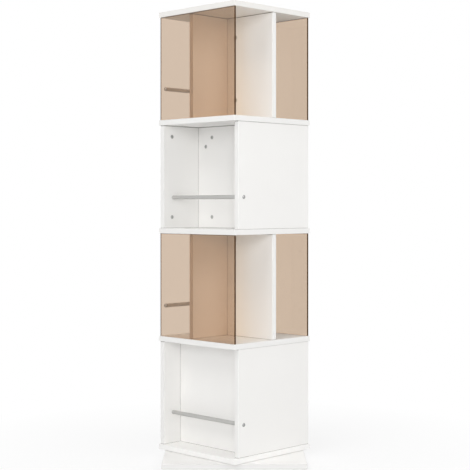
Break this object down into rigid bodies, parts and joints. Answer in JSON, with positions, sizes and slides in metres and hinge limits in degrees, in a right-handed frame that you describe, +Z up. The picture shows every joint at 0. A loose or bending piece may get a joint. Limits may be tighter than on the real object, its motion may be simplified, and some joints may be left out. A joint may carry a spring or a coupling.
{
  "type": "rotating display cabinet",
  "caption": "Tall square display tower of open tiers with white boards, brown acrylic sides and steel rails, turning on a ball-bearing base plate.",
  "frame": {"origin": "on the floor, on the turntable's axis", "axes": "+Z up along the spin axis; the tower's sides lie along X and Y with the open alcoves of the white tiers towards -Y, and the base plate is turned 45 degrees under it"},
  "size_m": [0.6002, 0.6002, 1.368],
  "materials": {
    "white_board": "satin white laminate on chipboard, with matching edge banding",
    "brown_acrylic": "clear brown-tinted acrylic with polished faces and dark edges",
    "grey_steel": "satin grey plated steel",
    "polished_steel": "polished bearing steel",
    "plain_plastic": "plain moulded plastic",
    "plain_beech": "plain turned beech",
    "glide_rubber": "matt grey pads"
  },
  "bodies": {
    "base": {"base_plate": "white_board", "base_glides": "glide_rubber", "lower_race": "grey_steel", "lower_race_screws": "grey_steel"},
    "bearing": {"ball_cage": "plain_plastic", "bearing_balls": "polished_steel"},
    "tower": {"upper_race": "grey_steel", "upper_race_screws": "grey_steel", "bottom_panel": "white_board", "low_shelf": "white_board", "middle_shelf": "white_board", "high_shelf": "white_board", "top_panel": "white_board", "tier1_left_panel": "white_board", "tier1_right_panel": "white_board", "tier1_back_panel": "white_board", "tier2_cross_panel": "white_board", "tier2_divider": "white_board", "tier3_left_panel": "white_board", "tier3_right_panel": "white_board", "tier3_middle_panel": "white_board", "tier4_cross_panel": "white_board", "tier4_divider": "white_board", "tier2_front_acrylic": "brown_acrylic", "tier2_rear_acrylic": "brown_acrylic", "tier4_front_acrylic": "brown_acrylic", "tier4_rear_acrylic": "brown_acrylic", "tier1_rail": "grey_steel", "tier2_rail": "grey_steel", "tier3_rail": "grey_steel", "tier4_rail": "grey_steel", "rail_plugs": "plain_plastic", "panel_rail_screws": "grey_steel", "acrylic_rail_screws": "grey_steel", "cam_locks": "grey_steel", "cam_bolts": "grey_steel", "wood_dowels": "plain_beech"}
  },
  "joints": [
    {"name": "tower_spin", "type": "hinge", "parent": "base", "child": "tower", "pos_m": [0, 0, 0.016], "axis": [0, 0, 1], "continuous": true},
    {"name": "cage_spin", "type": "hinge", "parent": "base", "child": "bearing", "pos_m": [0, 0, 0.016], "axis": [0, 0, 1], "continuous": true}
  ],
  "couplings": [
    {"joint": "cage_spin", "follows": "tower_spin", "ratio": 0.5}
  ]
}
